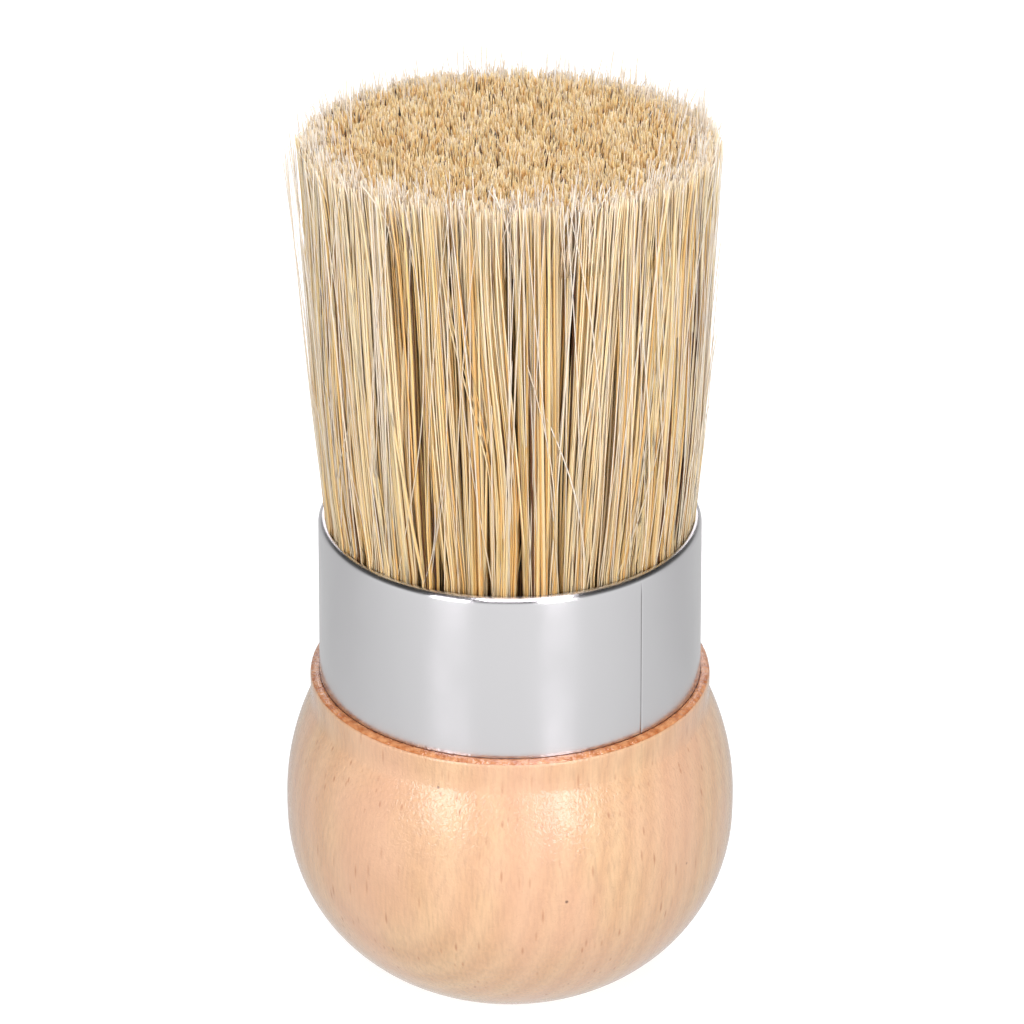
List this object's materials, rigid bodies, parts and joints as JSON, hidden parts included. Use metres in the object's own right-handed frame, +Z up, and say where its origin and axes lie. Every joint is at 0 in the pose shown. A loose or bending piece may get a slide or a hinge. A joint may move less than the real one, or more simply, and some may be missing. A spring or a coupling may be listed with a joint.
{
  "type": "pastry brush",
  "caption": "Round brush that stands on a ball-shaped wooden handle, with a seamed metal ferrule and a dense, flat-cut pack of natural bristle.",
  "frame": {"origin": "centre of the flat foot that the brush stands on", "axes": "+Z up the brush's axis, from the foot of the handle to the cut tips; -Y is the front, and the ferrule's seam lies 41.5 degrees to the right of it"},
  "size_m": [0.0604, 0.0604, 0.1197],
  "materials": {
    "beech": "gloss",
    "ferrule_steel": "satin",
    "glue": "gloss",
    "resin": "gloss",
    "bristle_cream": "satin",
    "bristle_straw": "satin",
    "bristle_brown": "satin"
  },
  "bodies": {
    "root": {"handle": "beech", "ferrule": "ferrule_steel", "joint_glue": "glue", "resin_set": "resin", "bristle_core": "bristle_straw", "cream_bristles": "bristle_cream", "straw_bristles": "bristle_straw", "brown_bristles": "bristle_brown"}
  },
  "joints": []
}
